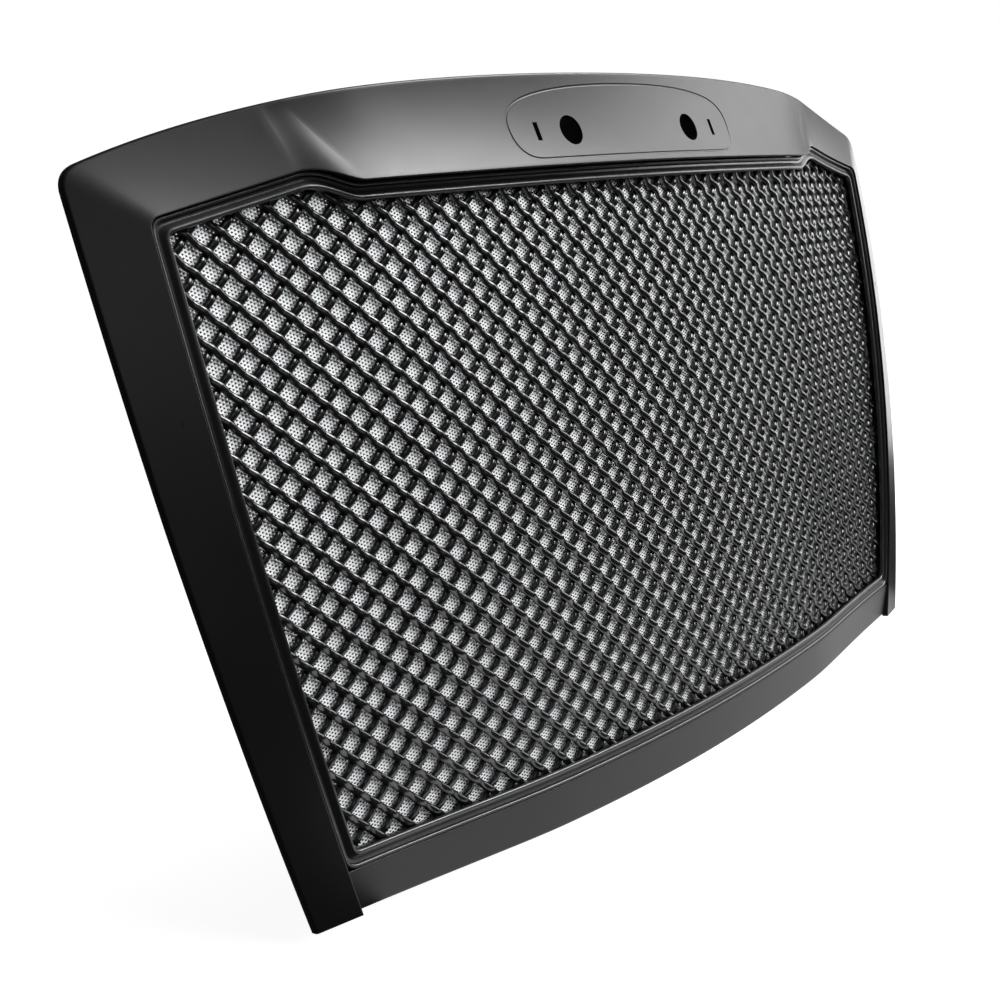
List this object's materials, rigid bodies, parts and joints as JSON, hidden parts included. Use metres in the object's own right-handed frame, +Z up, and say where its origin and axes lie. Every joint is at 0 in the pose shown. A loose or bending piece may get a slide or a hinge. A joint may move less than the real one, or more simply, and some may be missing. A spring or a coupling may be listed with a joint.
{
  "type": "truck front grille guard",
  "caption": "Crowned black truck grille: arched surround with badge seat, lower rail, beaded bezel, woven-look diamond lattice and a silver bug screen on turn buttons.",
  "frame": {"origin": "centre of the overall box", "axes": "+Z up, +X to the right as seen from the front, -Y out of the grille's face towards the road"},
  "size_m": [1.1396, 0.1012, 0.684],
  "materials": {
    "moulded_black": "satin black moulded plastic with a very fine grain",
    "bezel_black": "semi-gloss black moulded trim",
    "lattice_black": "gloss black moulded lattice",
    "screen_wire": "bright expanded aluminium mesh",
    "frame_steel": "black coated strip",
    "nylon_black": "moulded nylon",
    "zinc_plated": "bright zinc plate",
    "bracket_black": "black powder coat over pressed steel"
  },
  "bodies": {
    "grille": {"bolt_header_left_1": "zinc_plated", "bolt_header_left_2": "zinc_plated", "bolt_header_right_1": "zinc_plated", "bolt_header_right_2": "zinc_plated", "bolt_leg_lower_left_1": "zinc_plated", "bolt_leg_lower_left_2": "zinc_plated", "bolt_leg_lower_right_1": "zinc_plated", "bolt_leg_lower_right_2": "zinc_plated", "bolt_leg_upper_left_1": "zinc_plated", "bolt_leg_upper_left_2": "zinc_plated", "bolt_leg_upper_right_1": "zinc_plated", "bolt_leg_upper_right_2": "zinc_plated", "bracket_header_left": "bracket_black", "bracket_header_right": "bracket_black", "bracket_leg_lower_left": "bracket_black", "bracket_leg_lower_right": "bracket_black", "bracket_leg_upper_left": "bracket_black", "bracket_leg_upper_right": "bracket_black", "bug_screen": "screen_wire", "frame_screw_1": "zinc_plated", "frame_screw_10": "zinc_plated", "frame_screw_2": "zinc_plated", "frame_screw_3": "zinc_plated", "frame_screw_4": "zinc_plated", "frame_screw_5": "zinc_plated", "frame_screw_6": "zinc_plated", "frame_screw_7": "zinc_plated", "frame_screw_8": "zinc_plated", "frame_screw_9": "zinc_plated", "inner_bezel": "bezel_black", "lattice_insert": "lattice_black", "lower_rail": "moulded_black", "outer_surround": "moulded_black", "retainer_screw_1": "zinc_plated", "retainer_screw_2": "zinc_plated", "retainer_screw_3": "zinc_plated", "retainer_screw_4": "zinc_plated", "retainer_screw_5": "zinc_plated", "retainer_screw_6": "zinc_plated", "retainer_screw_7": "zinc_plated", "retainer_screw_8": "zinc_plated", "screen_frame": "frame_steel"},
    "button_1": {"screen_retainer_1": "nylon_black"},
    "button_2": {"screen_retainer_2": "nylon_black"},
    "button_3": {"screen_retainer_3": "nylon_black"},
    "button_4": {"screen_retainer_4": "nylon_black"},
    "button_5": {"screen_retainer_5": "nylon_black"},
    "button_6": {"screen_retainer_6": "nylon_black"},
    "button_7": {"screen_retainer_7": "nylon_black"},
    "button_8": {"screen_retainer_8": "nylon_black"}
  },
  "joints": [
    {"name": "button_turn_1", "type": "hinge", "parent": "grille", "child": "button_1", "pos_m": [-0.25852, -0.00374, 0.26097], "axis": [0.0994, 0.9927, -0.0689], "range_deg": [0, 90]},
    {"name": "button_turn_2", "type": "hinge", "parent": "grille", "child": "button_2", "pos_m": [0.25852, -0.00374, 0.26097], "axis": [-0.0994, 0.9927, -0.0689], "range_deg": [0, 90]},
    {"name": "button_turn_3", "type": "hinge", "parent": "grille", "child": "button_3", "pos_m": [-0.52356, 0.03248, 0.17082], "axis": [0.0719, 0.9943, -0.0789], "range_deg": [0, 90]},
    {"name": "button_turn_4", "type": "hinge", "parent": "grille", "child": "button_4", "pos_m": [-0.50498, 0.02205, -0.0481], "axis": [0.0489, 0.9988, -0.0066], "range_deg": [0, 90]},
    {"name": "button_turn_5", "type": "hinge", "parent": "grille", "child": "button_5", "pos_m": [0.52356, 0.03248, 0.17082], "axis": [-0.0719, 0.9943, -0.0789], "range_deg": [0, 90]},
    {"name": "button_turn_6", "type": "hinge", "parent": "grille", "child": "button_6", "pos_m": [0.50498, 0.02205, -0.0481], "axis": [-0.0489, 0.9988, -0.0066], "range_deg": [0, 90]},
    {"name": "button_turn_7", "type": "hinge", "parent": "grille", "child": "button_7", "pos_m": [-0.27759, 0.00328, -0.30158], "axis": [0.1616, 0.9832, 0.0848], "range_deg": [0, 90]},
    {"name": "button_turn_8", "type": "hinge", "parent": "grille", "child": "button_8", "pos_m": [0.27759, 0.00328, -0.30158], "axis": [-0.1616, 0.9832, 0.0848], "range_deg": [0, 90]}
  ]
}
